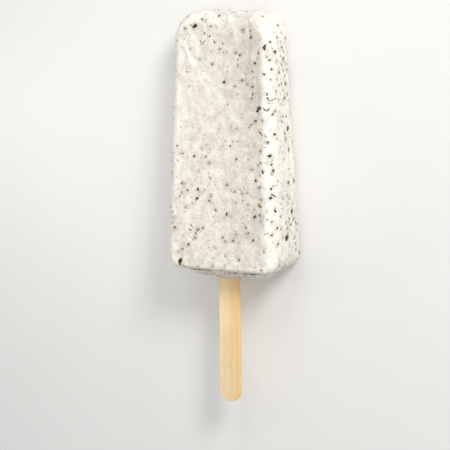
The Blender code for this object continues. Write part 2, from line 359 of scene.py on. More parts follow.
def walls(point):
    """The two long sides, from where the shown face starts to turn down, for the streaks along them."""
    half_width = tapered(BASE_WIDTH, TIP_WIDTH, point.y) / 2
    return nought_to_one((abs(point.x) - half_width) / RIM + 1)


def off_the_back(point):
    """Nought on the flat back, which lies on the table, and one away from it."""
    above = point.z + tapered(BASE_THICKNESS, TIP_THICKNESS, point.y) / 2
    return nought_to_one(above / BACK_SKIN - BACK_FLAT)


def bell(distance, breadth):
    """One at no distance, dying away to nought over a few breadths."""
    return math.exp(-((distance / breadth) ** 2)) if distance < BELL_REACH * breadth else 0


def near_lines(lines):
    """On the shown face: one on any of some drawn lines, nought at its edge, and less beyond."""
    return lambda point: 1 - min(off_line(point, line) for line in lines) if point.z > 0 else 1 - FAR_OFF


def along_lines(lines):
    """The same as a weight that dies away softly."""
    return lambda point: bell(1 - near_lines(lines)(point), 1)


def near_crease(point):
    """One in the crease round the foot of the cap, nought at its edge, and less beyond."""
    inner_x = abs(point.x) - (CAP_HALF_WIDTH - CAP_CORNER)
    inner_z = abs(point.z) - (CAP_HALF_THICKNESS - CAP_CORNER)
    outside = past_round_corner(inner_x, inner_z, CAP_CORNER)
    drift = noise.noise(point / CREASE_WANDER)
    up_the_slope = -point.y - LENGTH / 2 - CREASE_HEIGHT * (1 + CREASE_DRIFT * drift)
    opening = CREASE_OPENING * noise.noise(point / CREASE_WANDER + Vector(CREASE_DRAW))
    opened = min(1, max(CREASE_NARROWEST, CREASE_OPEN + opening))
    off_foot = min(0, outside + CREASE_HEIGHT) + CREASE_ENDS_ON_BLOCK * max(0, outside)
    off = Vector((off_foot, up_the_slope)).length
    return 1 - min(FAR_OFF, off / (CREASE_BREADTH * opened))


def in_crease(point):
    return bell(1 - near_crease(point), 1)


def on_cap(point):
    """The cap, which no mould wall smoothed."""
    return nought_to_one((-LENGTH / 2 - point.y) / CAP_BLEND)


def collar(point):
    """Round the stick, where the cream crept a little way up the wood before it set."""
    off_x = max(0, abs(point.x - STICK_OFF_MIDDLE) - STICK_WIDTH / 2)
    off_z = max(0, abs(point.z) - STICK_THICKNESS / 2)
    return on_cap(point) * bell(Vector((off_x, off_z)).length, COLLAR_BREADTH)


group(body, "free", off_the_back)
group(body, "sunk", sunk)
group(body, "smears", along_lines(SMEARS))
group(body, "streaks", along_lines(STREAKS))
group(body, "crease", in_crease)
group(body, "cap", on_cap)
group(body, "collar", collar)
# Painted shade on the right of the shown face.
paint(body, "painted_shade_right", painted_shade_right)
# A painted highlight on the rims of the shown face.
paint(body, "rims", rim_painted_highlight)
paint(body, "walls", walls)
paint(body, "clear", clear_stretch)
# Where the smears are whiter, partly painted highlight.
paint(body, "smears", near_lines(SMEARS))
# Painted light in the wiped lines.
paint(body, "wipes_and_painted_light", near_lines(WIPES_AND_PAINTED_LIGHT))
paint(body, "scratches", near_lines(SCRATCHES))
paint(body, "streaks", along_lines(STREAKS))
paint(body, "crease", near_crease)
press(body, "sink", -SINK_DEPTH, "sunk", direction="Z")
for grain, depth in SWELLS:
    press(body, f"swell_{grain / MILLIMETRE:.0f}_mm", depth, "free", grain=grain)
press(body, "smears", SMEAR_HEIGHT, "smears")
press(body, "streaks", -STREAK_DEPTH, "streaks")
press(body, "crease", -CREASE_DEPTH, "crease")
for grain, depth in CAP_SWELLS:
    press(body, f"cap_swell_{grain / MILLIMETRE:.0f}_mm", depth, "cap", grain=grain)
press(body, "collar", -COLLAR_HEIGHT, "collar", direction="Y")
finish_modifiers(body)

# ---------------------------------------------------------------------------------------------
# Frozen cream, as a finish: off-white and satin, clouded where more or less air and ice froze in,
# with crumbs showing grey through a thin skin of it and cocoa bled into it round the rest.

CREAM = (0.905, 0.872, 0.785, 1)
CREAM_GREY = (0.695, 0.655, 0.60, 1)
# White for frost, and for the painted highlight on the rims and the painted light up the walls.
WHITE_FROST_AND_HIGHLIGHT = (0.97, 0.955, 0.90, 1)
# White for wiped lines and scratches, and for the painted highlight in the smears and wiped lines.
WHITE_WIPE_AND_HIGHLIGHT = (0.99, 0.98, 0.945, 1)
SUNK_CRUMB = (0.415, 0.37, 0.332, 1)
COCOA_STAIN = (0.38, 0.32, 0.26, 1)
CREASE_SHADE = (0.125, 0.123, 0.077, 1)
CREAM_RELIEF = 0.00065
PATCH_STRETCH = (1, 0.7, 1)
SATIN = 0.34
SATIN_VARIES = 0.25

# How much each kind of unevenness greys the cream, how much the painted shade on the right greys it,
# and how grey it is without them.
UNEVEN = 0.14
CLOUDED = 0.53
GRAINY = 0.25
PAINTED_SHADE_GREYS = 0.07
GREYNESS = 0.04

# The drags near the tip, laid within the painted shade, and the frost and painted light on the walls,
# which are lighter towards the tip: where along the bar they set in, how far they are drawn out along
# it, and how strong they are.
DRAGS_FROM = 0.037
DRAGS_TO = 0.046
DRAG_STRETCH = (1, 0.10, 1)
DRAG_GREY = 0.16
DRAG_CONTRAST = 0.20
WALL_PAINTED_LIGHT_FROM = -0.040
WALL_PAINTED_LIGHT_TO = 0.040
PULL_STRETCH = (1, 0.16, 1)
PAINTED_LIGHT_AT_TIP = 0.20
FROST_IN_PULLS = 0.38

# Fewer crumbs show through in the clear stretch and more on the walls; and how ragged the edges of the
# smears and of the crease are.
CRUMBS_CLEARED = 0.85
MORE_CRUMBS_ON_WALLS = 0.9
TORN_OUT = 0.6
TORN_IN = 1.2
RAGGED_OUT = 1.1
RAGGED_IN = 2.0


class Value:
    """A shader socket that takes part in sums; each operator adds the Math node it stands for."""

    def __init__(self, socket):
        self.socket = socket

    def node(self, kind, settings=None, inputs=None, output=0):
        """Any other node: its type, its settings, then the values or links of its sockets."""
        tree = self.socket.id_data
        made = tree.nodes.new(kind)
        for name, setting in (settings or {}).items():
            setattr(made, name, setting)
        for name, given in (inputs or {}).items():
            if isinstance(given, Value):
                tree.links.new(given.socket, made.inputs[name])
            else:
                made.inputs[name].default_value = given
        return Value(made.outputs[output])

    def math(self, operation, *operands):
        return self.node("ShaderNodeMath", {"operation": operation}, dict(enumerate(operands)))

    def __add__(self, other):
        return self.math("ADD", self, other)

    def __sub__(self, other):
        return self.math("SUBTRACT", self, other)

    def __rsub__(self, other):
        return self.math("SUBTRACT", other, self)

    def __mul__(self, other):
        return self.math("MULTIPLY", self, other)

    __radd__ = __add__
    __rmul__ = __mul__

    def ramp(self, low, high):
        """Nought below one value, one above the other, and smooth between."""
        inputs = {"Value": self, "From Min": low, "From Max": high}
        return self.node("ShaderNodeMapRange", {"interpolation_type": "SMOOTHSTEP"}, inputs)

    def mix(self, first, second):
        """The first colour where this is nought, and the second where it is one."""
        colours = {"Factor": self, 6: first, 7: second}
        return self.node("ShaderNodeMix", {"data_type": "RGBA", "clamp_factor": True}, colours, 2)

    def lay(self, tint, colour, strength=1.0):
        """A tint laid over a colour by this amount, times a strength."""
        return (self * strength).mix(colour, tint)

    def stretched(self, scale):
        return self.node("ShaderNodeMapping", None, {"Vector": self, "Scale": scale})

    def along(self, axis):
        return self.node("ShaderNodeSeparateXYZ", None, {0: self}, axis)

    def clouds(self, size, detail=2.0, roughness=0.5):
        """Noise on this place, with blotches of about one size, as a value that varies round a half."""
        inputs = {"Vector": self, "Scale": 1 / size, "Detail": detail, "Roughness": roughness}
        return self.node("ShaderNodeTexNoise", None, inputs, "Fac")

    def stirred(self, size, reach):
        """This place pushed about by noise, to give what is drawn on it torn edges."""
        push = self.node("ShaderNodeTexNoise", None, {"Vector": self, "Scale": 1 / size}, "Color")
        moved = {0: push, 1: (reach, reach, reach), 2: self}
        return self.node("ShaderNodeVectorMath", {"operation": "MULTIPLY_ADD"}, moved)

    def number(self, which):
        """One of the three numbers of a colour drawn at random."""
        return self.node("ShaderNodeSeparateColor", None, {"Color": self}, which)

    def cells(self, size, output):
        """Scattered points: how far off the nearest is, in cells, or a colour drawn for each."""
        return self.node("ShaderNodeTexVoronoi", None, {"Vector": self, "Scale": 1 / size}, output)


def finish(name, roughness, **even):
    """A material, its shader, and the place on the piece to work patterns from."""
    material = bpy.data.materials.new(name)
    material.use_nodes = True
    tree = material.node_tree
    shader = tree.nodes["Principled BSDF"]
    shader.inputs["Roughness"].default_value = roughness
    for socket, setting in even.items():
        shader.inputs[socket.replace("_", " ")].default_value = setting
    place = Value(tree.nodes.new("ShaderNodeTexCoord").outputs["Object"])
    return material, shader, place


def feed(shader, **sockets):
    for name, value in sockets.items():
        shader.id_data.links.new(value.socket, shader.inputs[name.replace("_", " ")])


def attribute(place, name):
    return place.node("ShaderNodeAttribute", {"attribute_name": f"{name}_seen"}, None, "Fac")


def relief(heights, distance):
    """A Bump from heights that are shares of one distance."""
    inputs = {"Height": heights, "Distance": distance, "Strength": 1.0}
    return heights.node("ShaderNodeBump", None, inputs)


def spots(place, size, largest, softness, share, faintest):
    """Soft spots of mixed sizes and strengths, at most one to a cell, in some share of the cells."""
    drawn = place.cells(size, "Color")
    reach = (drawn.number(0) - (1 - share)) * (largest / share)
    strength = drawn.number(1) * (1 - faintest) + faintest
    return (reach - place.cells(size, "Distance")).ramp(-softness, softness) * strength


cream, cream_shader, on_body = finish(
    "frozen_cream",
    roughness=0.5,
    Subsurface_Weight=0.25,
    Subsurface_Radius=(1.0, 0.85, 0.6),
    Subsurface_Scale=0.0008,
    IOR=1.36,
    Specular_IOR_Level=0.5,
)
shade_on_right = attribute(on_body, "painted_shade_right")
wall = attribute(on_body, "walls")

# The cream itself, clouded and grainy, greyer to the right of the shown face with painted shade, and
# whitened on its rims with a painted highlight.
wavy = on_body.stirred(size=0.0016, reach=0.0006)
broad = on_body.clouds(0.010, detail=3.0)
patches = wavy.stretched(PATCH_STRETCH).clouds(0.0030, detail=4.0, roughness=0.62)
grain = on_body.clouds(0.0008, detail=3.0, roughness=0.65)
greyer = broad * UNEVEN + patches * CLOUDED + grain * GRAINY + shade_on_right * PAINTED_SHADE_GREYS + GREYNESS
colour = greyer.ramp(0.40, 0.62).mix(CREAM, CREAM_GREY)
rim_highlight = attribute(on_body, "rims") * on_body.clouds(0.0045, detail=3.0).ramp(0.30, 0.50)
colour = rim_highlight.lay(WHITE_FROST_AND_HIGHLIGHT, colour, strength=0.85)

# What the mould dragged as the bar was pulled out: grey streaks near the tip, laid within the painted
# shade and deepening it; and frost up the long walls, with painted light that lightens them towards the
# tip.
near_tip = on_body.along("Y").ramp(DRAGS_FROM, DRAGS_TO) * shade_on_right
drags = on_body.stretched(DRAG_STRETCH).clouds(0.0016, detail=3.0, roughness=0.6).ramp(0.44, 0.66)
colour = (near_tip * (drags * DRAG_CONTRAST + DRAG_GREY)).lay(SUNK_CRUMB, colour)
pulled = on_body.stretched(PULL_STRETCH).clouds(0.0012, detail=3.0, roughness=0.6)
up_the_wall = on_body.along("Y").ramp(WALL_PAINTED_LIGHT_FROM, WALL_PAINTED_LIGHT_TO)
frost_and_painted_light = pulled.ramp(0.50, 0.66) * FROST_IN_PULLS + up_the_wall * PAINTED_LIGHT_AT_TIP
colour = (wall * frost_and_painted_light).lay(WHITE_FROST_AND_HIGHLIGHT, colour)
colour = (wall * pulled.ramp(0.46, 0.32)).lay(SUNK_CRUMB, colour, strength=0.18)

# Crumbs and grit that lie under the skin, and specks of ice.
torn_edges = on_body.stirred(size=0.0013, reach=0.0040)
crumby = patches.ramp(0.25, 0.50) + wall.ramp(0.8, 1.0) * MORE_CRUMBS_ON_WALLS
crumby = (1 - attribute(on_body, "clear") * CRUMBS_CLEARED) * crumby
deep = spots(torn_edges, size=0.0050, largest=0.28, softness=0.16, share=0.8, faintest=0.3)
colour = (deep * crumby).lay(SUNK_CRUMB, colour, strength=0.50)
shallow = spots(torn_edges, size=0.0026, largest=0.36, softness=0.12, share=0.8, faintest=0.2)
colour = (shallow * crumby).lay(SUNK_CRUMB, colour)
grit = spots(wavy, size=0.0014, largest=0.22, softness=0.08, share=0.4, faintest=0.2)
colour = (grit * crumby).lay(SUNK_CRUMB, colour, strength=0.60)
ice = spots(on_body, size=0.0013, largest=0.16, softness=0.06, share=0.6, faintest=0.4)
colour = ice.lay(WHITE_FROST_AND_HIGHLIGHT, colour, strength=0.9)

# What was drawn on the shown face, whiter in smears and wiped lines that are partly painted highlight,
# the cocoa round the crumbs, and the painted shade in the crease.
torn = TORN_OUT - patches * TORN_IN
colour = (attribute(on_body, "smears") + torn).ramp(0.0, 0.6).lay(WHITE_WIPE_AND_HIGHLIGHT, colour)
colour = (attribute(on_body, "wipes_and_painted_light") + torn).ramp(0.0, 0.9).lay(WHITE_WIPE_AND_HIGHLIGHT, colour, strength=0.45)
colour = attribute(on_body, "scratches").ramp(0.0, 0.9).lay(WHITE_WIPE_AND_HIGHLIGHT, colour, strength=0.8)
colour = attribute(on_body, "streaks").lay(SUNK_CRUMB, colour, strength=0.25)
bled = attribute(on_body, "cocoa") * patches.ramp(0.30, 0.55)
colour = bled.lay(COCOA_STAIN, colour, strength=0.60)
ragged = RAGGED_OUT - on_body.clouds(0.0011, detail=3.0, roughness=0.7) * RAGGED_IN
colour = (attribute(on_body, "crease") + ragged).ramp(0.0, 0.45).lay(CREASE_SHADE, colour, strength=0.95)
feed(
    cream_shader,
    Base_Color=colour,
    Roughness=on_body.clouds(0.003) * SATIN_VARIES + SATIN,
    Normal=relief(grain * 0.6 + patches * 0.4, CREAM_RELIEF),
)
body.data.materials.append(cream)

# ---------------------------------------------------------------------------------------------
# The crumbs: dark chocolate biscuit, crushed and stirred in, so they lie at every angle with a
# corner or a face just breaking the surface. The ones that catch the eye, and the thin flakes that
# curled off them, have places of their own; the rest fall anywhere.

# How far across and along the shown face, or how far along the right side and up it, in millimetres;
# then how long the crumb is, and which way it points, in degrees.
SHOWN_FACE_CRUMBS = [
    (-12.2, 48.0, 2.4, 70), (10.5, 46.5, 1.1, 90), (22.0, 41.5, 1.5, 35), (20.5, 39.5, 3.0, 60),
    (-0.5, 38.5, 1.2, 20), (9.0, 36.0, 1.7, 100), (16.0, 33.0, 1.7, 70), (-4.0, 32.3, 1.3, 10),
    (1.5, 25.0, 1.8, 45), (15.0, 23.5, 1.1, 85), (18.0, 14.5, 3.0, 80), (16.5, 9.5, 1.7, 60),
    (24.0, 4.0, 1.6, 35), (22.0, 1.0, 1.5, 60), (22.8, -4.5, 1.9, 25), (7.5, -6.5, 1.4, 80),
    (-12.5, -6.0, 1.4, 60), (20.0, -11.0, 1.8, 150), (17.0, -15.0, 1.8, 140), (-10.5, -20.0, 1.9, 130),
    (23.3, -22.0, 2.0, 60), (-11.0, -24.0, 1.8, 75), (19.0, -25.0, 2.5, 125), (25.0, -27.0, 2.1, 100),
    (-2.0, -28.0, 1.4, 120), (3.5, -29.5, 1.9, 50), (16.5, -30.0, 2.1, 60), (-10.5, -37.0, 1.3, 60),
    (24.0, -37.0, 1.2, 45), (1.5, -39.5, 1.0, 60), (6.5, -40.5, 1.2, 120), (-15.0, -43.5, 1.6, 80),
    (-18.5, -51.0, 3.8, 50),
]
SHOWN_FACE_GRITS = [
    (14.0, 43.5, 1.3, 90), (-3.0, 41.5, 1.1, 120), (17.5, 37.0, 1.1, 120), (8.0, 32.0, 1.2, 90),
    (12.0, 28.5, 0.9, 90), (22.5, 26.5, 1.1, 70), (10.0, 26.0, 1.2, 60), (21.5, 20.5, 1.6, 60),
    (15.0, 20.5, 1.3, 160), (14.5, 8.0, 0.9, 60), (13.5, 7.0, 0.9, 120), (4.5, -1.0, 1.0, 45),
    (-20.5, -2.0, 0.9, 60), (19.0, -2.5, 1.1, 90), (-7.0, -6.0, 1.1, 70), (19.0, -7.5, 1.1, 40),
    (23.5, -8.0, 1.2, 60), (18.0, -8.5, 0.9, 60), (24.0, -10.5, 1.6, 90), (23.5, -18.0, 1.2, 30),
    (7.0, -20.0, 1.2, 110), (-15.5, -20.5, 1.1, 90), (10.5, -20.5, 1.0, 100), (19.5, -22.5, 1.3, 80),
    (19.0, -29.0, 1.5, 75), (24.0, -31.5, 1.2, 50), (12.5, -34.5, 1.4, 110), (-8.0, -36.0, 1.0, 120),
    (-11.5, -38.5, 1.1, 60), (16.0, -39.5, 1.1, 90),
]
RIGHT_SIDE_CRUMBS = [
    (37.5, 5.5, 2.0, 10), (24.0, -2.5, 2.0, 15), (18.5, -1.5, 1.5, 160), (5.5, -3.0, 2.4, 20),
    (-3.4, -3.0, 2.0, 160), (-11.3, -2.5, 1.1, 0), (-17.0, -1.5, 2.1, 5), (-29.5, -3.5, 2.5, 0),
    (-39.0, 2.0, 4.4, 150),
]

# The flakes, each as the places that it runs through on the shown side, in millimetres.
FLAKES = (
    [(21.4, 19.1), (21.9, 18.4), (22.4, 17.9), (23.2, 18.1), (23.9, 18.5), (24.3, 19.2), (24.5, 20.0)],
    [(20.2, 14.9), (20.6, 14.3), (21.3, 13.8), (21.9, 14.0), (22.2, 14.8)],
    [(17.2, 15.5), (17.5, 14.7), (17.8, 13.9), (18.0, 13.3)],
    [(18.0, 5.4), (18.9, 4.8), (19.3, 4.2), (19.6, 3.6)],
    [(-14.4, 48.6), (-13.7, 48.1), (-13.1, 47.6)],
    [(23.6, -20.2), (24.4, -20.8), (25.1, -21.5)],
    [(-17.9, -52.3), (-17.4, -52.7), (-16.8, -53.2), (-16.2, -53.6)],
    [(-5.2, 47.6), (-4.6, 47.9), (-4.1, 48.3)],
)
FAINT_FLAKES = (
    [(-9.7, 42.0), (-9.2, 41.4), (-8.8, 40.8), (-8.4, 40.9), (-7.9, 41.4), (-7.4, 41.9)],
    [(-8.4, 29.9), (-8.0, 29.5), (-7.7, 29.2)],
)
SLIVERS_AT = (0.25, 0.75)
SLIVER_OVERLAP = 1.2

# The broken shapes, a metre each way: how far off the middle the breaks are cut, how much they lean,
# and the closest that two corners lie; and for each lobe of a clump its sizes and how far off it is.
CRUMB_SEED = 23
SHARDS = 8
BREAKS_OFF_MIDDLE = (0.20, 0.42)
BREAKS_LEAN = 0.5
CLOSEST_CORNERS = 0.02
CLUMP_LOBES = ((1.0, 1.0, 0), (0.55, 0.75, 0.45), (0.35, 0.55, 0.50))
NARROWEST_LOBE = 0.6

# As shares of a crumb's length: its thickness, how far it stands out, and how much its breadth varies.
SHARD_DEPTH = 0.32
PROUD = 0.10
BREADTH_VARIES = 0.35

# How the rest fall: mostly small, with up to so many bits round each larger one and this far off it.
FINEST = 0.00030
FINE = 0.00065
MOSTLY_SMALL = 1.6
MOST_BITS = 3
BITS_OFF = (0.6, 1.1)

# Rays that find a place on the surface start this far off.
RAY_START = 0.050

# Where the rest fall thicker or thinner, the normals that tell those places apart, and how far past a
# smear's edge they keep, in its half breadths.
SHOWN_NORMAL = 0.8
EDGE_NORMAL = 0.25
SIDE_NORMAL = 0.9
FEWER_ON_SHOWN = 0.2
MORE_ON_EDGES = 0.3
MORE_ON_SIDES = 0.6
FEWER_IN_CLEAR = 0.95
OFF_SMEARS = 0.5

DARK_CRUMB = (0.018, 0.012, 0.008, 1)
BROWN_CRUMB = (0.240, 0.125, 0.038, 1)
CREAM_ON_CRUMB = (0.48, 0.42, 0.365, 1)
CRUMB_RELIEF = 0.0001
COCOA_REACH = 0.75
COCOA_FARTHEST = 0.0012
LEAST_THAT_BLEEDS = 0.0008


def fresh_draws():
    """The draws from their start, for what has places of its own, so that the rest can't change it."""
    return random.Random(CRUMB_SEED)


def shard(name, fineness, cuts, chance):
    """One broken crumb, a metre each way and to be scaled down: a ball with flat breaks cut off it."""
    piece = begin(bpy.ops.mesh.primitive_ico_sphere_add, name, subdivisions=fineness, radius=0.5)
    bpy.ops.object.mode_set(mode="EDIT")
    for _ in range(cuts):
        away = Vector([chance.gauss(0, spread) for spread in (1, 1, BREAKS_LEAN)]).normalized()
        cut = away * chance.uniform(*BREAKS_OFF_MIDDLE)
        bpy.ops.mesh.select_all(action="SELECT")
        bpy.ops.mesh.bisect(plane_co=cut, plane_no=away, use_fill=True, clear_outer=True)
    bpy.ops.mesh.select_all(action="SELECT")
    bpy.ops.mesh.remove_doubles(threshold=CLOSEST_CORNERS)
    bpy.ops.mesh.normals_make_consistent(inside=False)
    bpy.ops.object.mode_set(mode="OBJECT")
    return to_a_metre(piece)


def to_a_metre(piece):
    """The piece about its own middle, and a metre each way."""
    corners = [Vector(corner) for corner in piece.bound_box]
    low, high = corners[0], corners[6]
    piece.data.transform(Matrix.Translation(-(low + high) / 2))
    piece.data.transform(Matrix.Diagonal([1 / side for side in high - low] + [1]))
    return piece


def clump(number, chance):
    """A crumb that broke unevenly: one shard with two smaller ones grown out of its sides."""
    lobes = []
    for lobe, (smallest, largest, off) in enumerate(CLUMP_LOBES):
        size = chance.uniform(smallest, largest)
        turn = chance.uniform(0, 2 * math.pi)
        piece = shard(f"clump_{number}_{lobe}", fineness=2, cuts=7, chance=chance)
        piece.data.transform(Matrix.Diagonal((size, size * chance.uniform(NARROWEST_LOBE, 1), size, 1)))
        piece.data.transform(Matrix.Rotation(chance.uniform(0, 2 * math.pi), 4, "Z"))
        piece.data.transform(Matrix.Translation((off * math.cos(turn), off * math.sin(turn), 0)))
        lobes.append(piece)
    bpy.ops.object.select_all(action="DESELECT")
    for piece in lobes:
        piece.select_set(True)
    bpy.context.view_layer.objects.active = lobes[0]
    bpy.ops.object.join()
    return to_a_metre(bpy.context.object)


def turned(facing, along):
    """Lays X along a direction on the surface, with Z out of it."""
    across = facing.cross(along).normalized()
    return Matrix((across.cross(facing), across, facing)).transposed().to_4x4()


def embed(name, shards, places, veils, narrowest, chance):
    """Copies of the shards, each at its place and turn and with its own veil of cream, as one piece."""
    copies = []
    for place, facing, along, length in places:
        template = chance.choice(shards)
        copy = template.copy()
        copy.data = template.data.copy()
        bpy.context.scene.collection.objects.link(copy)
        breadth = length * chance.uniform(narrowest, narrowest + BREADTH_VARIES)
        flat = Matrix.Diagonal((length, breadth, length * SHARD_DEPTH, 1))
        sunk_in = place - facing * length * (SHARD_DEPTH / 2 - PROUD)
        copy.data.transform(Matrix.Translation(sunk_in) @ turned(facing, along) @ flat)
        veil = copy.data.attributes.new("veil_seen", "FLOAT", "POINT")
        veil.data.foreach_set("value", [veils * chance.random()] * len(copy.data.vertices))
        copies.append(copy)
    bpy.ops.object.select_all(action="DESELECT")
    for copy in copies:
        copy.select_set(True)
    bpy.context.view_layer.objects.active = copies[0]
    bpy.ops.object.join()
    piece = bpy.context.object
    piece.name = name
    return piece


def listed_places(on_face, on_side):
    """Where the crumbs that catch the eye break the surface, dropped or pushed onto the body."""
    rays = []
    for across, along, length, degrees in on_face:
        points = Vector((math.cos(math.radians(degrees)), math.sin(math.radians(degrees)), 0))
        rays.append(((across, along, RAY_START / MILLIMETRE), (0, 0, -1), points, length))
    for along, up, length, degrees in on_side:
        points = Vector((0, math.cos(math.radians(degrees)), math.sin(math.radians(degrees))))
        rays.append(((RAY_START / MILLIMETRE, along, up), (-1, 0, 0), points, length))
    places = []
    for start, ray, points, length in rays:
        _, place, facing, _ = body.ray_cast(Vector(start) * MILLIMETRE, ray)
        places.append((place, facing, points, length * MILLIMETRE))
    return places


def fallen_places(count, smallest, largest, spacing, taken, thickness, chance):
    """Places drawn over the body by area, clear of those taken, for crumbs of mixed sizes."""
    faces = body.data.polygons
    weights = list(accumulate(f.area * thickness(f) for f in faces))
    places = []
    while len(places) < count:
        face = chance.choices(faces, cum_weights=weights)[0]
        length = smallest + (largest - smallest) * chance.random() ** MOSTLY_SMALL
        along = Vector([chance.uniform(-1, 1) for _ in range(3)])
        if all((face.center - other[0]).length > spacing + other[3] / 2 for other in taken + places):
            places.append((face.center.copy(), face.normal.copy(), along, length))
    return places


def broken_off(places, chance):
    """Fine bits that lie close round each larger crumb, dropped back onto the body."""
    bits = []
    for place, facing, along, length in places:
        for _ in range(chance.randint(0, MOST_BITS)):
            turn = Matrix.Rotation(chance.uniform(0, 2 * math.pi), 3, facing)
            aside = turn @ facing.orthogonal().normalized() * length * chance.uniform(*BITS_OFF)
            _, landed, normal, _ = body.closest_point_on_mesh(place + aside)
            bits.append((landed, normal, along, chance.uniform(FINEST, FINE)))
    return bits


def flaked_off(lines):
    """Thin curled flakes, each as a row of slivers end to end along a line on the shown side."""
    slivers = []
    for line in lines:
        for start, end in zip(line, line[1:]):
            run = Vector(end) - Vector(start)
            for share in SLIVERS_AT:
                across, along = Vector(start) + run * share
                above = Vector((across, along, RAY_START / MILLIMETRE)) * MILLIMETRE
                _, place, facing, _ = body.ray_cast(above, (0, 0, -1))
                slivers.append((place, facing, run.to_3d(), run.length * MILLIMETRE * SLIVER_OVERLAP))
    return slivers


def anywhere(face):
    """Thicker down the rounded edges and the sides, where the moving cream left them."""
    wiped = body.data.attributes["smears_seen"].data[face.vertices[0]].value > -OFF_SMEARS
    shown = face.normal.z > SHOWN_NORMAL
    edge = abs(face.normal.x) > EDGE_NORMAL
    side = abs(face.normal.x) > SIDE_NORMAL
    thickness = 1.0 + MORE_ON_EDGES * edge + MORE_ON_SIDES * side - FEWER_ON_SHOWN * shown
    return thickness * (1 - FEWER_IN_CLEAR * clear_stretch(face.center)) * (not wiped)


def not_shown(face):
    return anywhere(face) * (face.normal.z < SHOWN_NORMAL)


chance = fresh_draws()
clumps = [clump(number, chance) for number in range(SHARDS)]
grits = [shard(f"grit_{number}", fineness=1, cuts=3, chance=chance) for number in range(SHARDS)]
marked = listed_places(SHOWN_FACE_CRUMBS, RIGHT_SIDE_CRUMBS)
marked_grits = listed_places(SHOWN_FACE_GRITS, [])
seen = marked + marked_grits
large = fallen_places(
    count=95, smallest=0.0011, largest=0.0021, spacing=0.0032,
    taken=seen, thickness=not_shown, chance=chance,
)
strewn = seen + large
middling = fallen_places(
    count=550, smallest=0.0006, largest=0.0016, spacing=0.0010,
    taken=strewn, thickness=anywhere, chance=chance,
)
fine = fallen_places(
    count=360, smallest=FINEST, largest=FINE, spacing=0.0004,
    taken=seen, thickness=anywhere, chance=chance,
)
fine += broken_off(strewn, chance)
flakes = flaked_off(FLAKES)
faint_flakes = flaked_off(FAINT_FLAKES)
pieces = [
    embed("crumbs_marked", clumps, marked, veils=0.12, narrowest=0.60, chance=fresh_draws()),
    embed("crumbs_large", clumps, large, veils=0.45, narrowest=0.50, chance=chance),
    embed("grits_marked", grits, marked_grits, veils=0.50, narrowest=0.50, chance=fresh_draws()),
    embed("crumbs_middling", grits, middling, veils=1.0, narrowest=0.38, chance=chance),
    embed("crumbs_fine", grits, fine, veils=0.8, narrowest=0.40, chance=chance),
    embed("crumb_flakes", grits, flakes, veils=1.0, narrowest=0.50, chance=fresh_draws()),
    embed("crumb_flakes_faint", grits, faint_flakes, veils=1.8, narrowest=0.32, chance=fresh_draws()),
]
for template in clumps + grits:
    bpy.data.objects.remove(template)

# The cocoa that bled out of them into the cream.
bleeding = strewn + middling
crumb_centres = KDTree(len(bleeding))
for number, (place, *_) in enumerate(bleeding):
    crumb_centres.insert(place, number)
crumb_centres.balance()


def in_cocoa(point):
    """How much cocoa has bled into the cream round the nearest crumb."""
    _, number, off = crumb_centres.find(point)
    length = bleeding[number][3]
    return bell(off, min(COCOA_FARTHEST, length * COCOA_REACH)) if length > LEAST_THAT_BLEEDS else 0


paint(body, "cocoa", in_cocoa)

biscuit, biscuit_shader, on_crumb = finish("dark_biscuit", roughness=0.75)
baked = on_crumb.clouds(0.0030, detail=1.0) * 0.45 + on_crumb.clouds(0.0010) * 0.55
bare = baked.ramp(0.46, 0.60).mix(DARK_CRUMB, BROWN_CRUMB)
feed(
    biscuit_shader,
    Base_Color=attribute(on_crumb, "veil").lay(CREAM_ON_CRUMB, bare),
    Normal=relief(on_crumb.clouds(0.00018, detail=3.0), CRUMB_RELIEF),
)


def hand_over(piece, node):
    """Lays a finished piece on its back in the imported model's frame, and puts it in a node's place."""
    piece.data.transform(LYING)
    piece.data.update()
    bpy.ops.object.select_all(action="DESELECT")
    piece.select_set(True)
    bpy.context.view_layer.objects.active = piece
    bpy.ops.object.shade_smooth()
    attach(piece, "root")
    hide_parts(node)


# The block waited until its crumbs had found their places on it, and now goes with them.
hand_over(body, "ice_cream")
for piece in pieces:
    piece.data.materials.append(biscuit)
    hand_over(piece, "ice_cream")

# ---------------------------------------------------------------------------------------------
# The stick: a flat birch stick with round ends, stamped and tumbled smooth, with a faint straight
# grain and pores, and painted shade that browns its right half. About half of it is frozen into the
# block.

STICK_LENGTH = 0.114
STICK_MIDDLE = -LENGTH / 2 - STICK_SHOWING + STICK_LENGTH / 2
CORNERS_ALL_BUT_MEET = 0.999
STICK_END_RADIUS = STICK_WIDTH / 2 * CORNERS_ALL_BUT_MEET
STICK_END_STEPS = 16
STICK_EDGE = 0.0004
STICK_EDGE_STEPS = 4
SHARP = math.radians(60)
PALE_WOOD = (0.99, 0.785, 0.485, 1)
WOOD = (0.94, 0.695, 0.38, 1)
SHADED_WOOD = (0.85, 0.565, 0.255, 1)
PORE = (0.62, 0.40, 0.20, 1)
RING_STRETCH = (1, 0.05, 1)
PORE_STRETCH = (1, 0.12, 1)
STICK_SHADE_FROM = -0.0022
STICK_SHADE_TO = 0.0028
STICK_SHADE_WAVER = 0.0015
WOOD_SHINE = 0.45
WOOD_SHINE_VARIES = 0.2
WOOD_RELIEF = 0.00012

